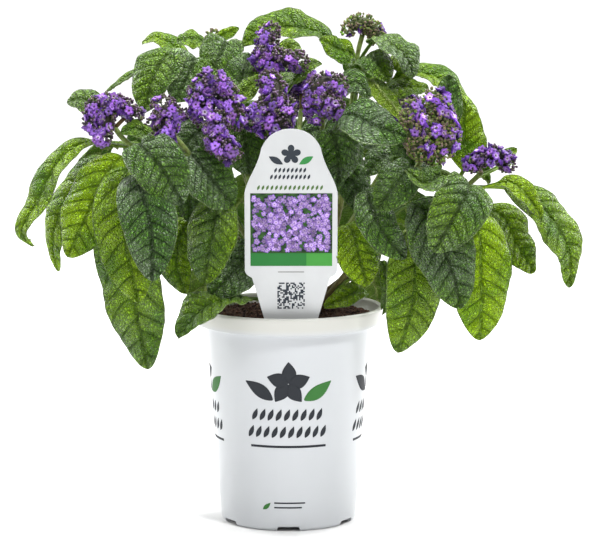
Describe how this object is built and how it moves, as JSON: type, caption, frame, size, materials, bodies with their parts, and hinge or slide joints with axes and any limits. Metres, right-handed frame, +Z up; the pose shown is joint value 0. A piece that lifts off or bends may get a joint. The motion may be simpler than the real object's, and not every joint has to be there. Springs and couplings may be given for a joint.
{
  "type": "potted heliotrope",
  "caption": "Violet heliotrope in a white tapered nursery pot: quilted green leaves, curled flower heads and a plain plant label.",
  "frame": {"origin": "on the ground under the centre of the pot", "axes": "+Z up, -Y toward the front, where the label stands, +X to the right"},
  "size_m": [0.3302, 0.2208, 0.3053],
  "materials": {
    "pot": "smooth moulded white",
    "soil": "crumbly potting soil",
    "label": "printed white plastic sheet",
    "leaf": "quilted leaf, shiny on top, pale hairy underside",
    "bloom": "velvety violet florets"
  },
  "bodies": {
    "root": {"pot": "pot", "soil": "soil", "label": "label", "leafy_stem_far_left": "leaf", "bloom_far_left": "bloom", "leafy_stem_front_left": "leaf", "bloom_front_left": "bloom", "leafy_stem_centre_left": "leaf", "bloom_centre_left": "bloom", "leafy_stem_front": "leaf", "bloom_front": "bloom", "leafy_stem_top": "leaf", "bloom_top": "bloom", "leafy_stem_front_right": "leaf", "bloom_front_right": "bloom", "leafy_stem_back_right_top": "leaf", "bloom_back_right_top": "bloom", "leafy_stem_right": "leaf", "bloom_right": "bloom", "leafy_stem_far_right": "leaf", "bloom_far_right": "bloom", "leafy_stem_back_left_top": "leaf", "bloom_back_left_top": "bloom", "leafy_stem_back": "leaf", "bloom_back": "bloom", "leafy_stem_back_right": "leaf", "bloom_back_right": "bloom", "leafy_stem_back_left": "leaf", "bloom_back_left": "bloom"}
  },
  "joints": []
}
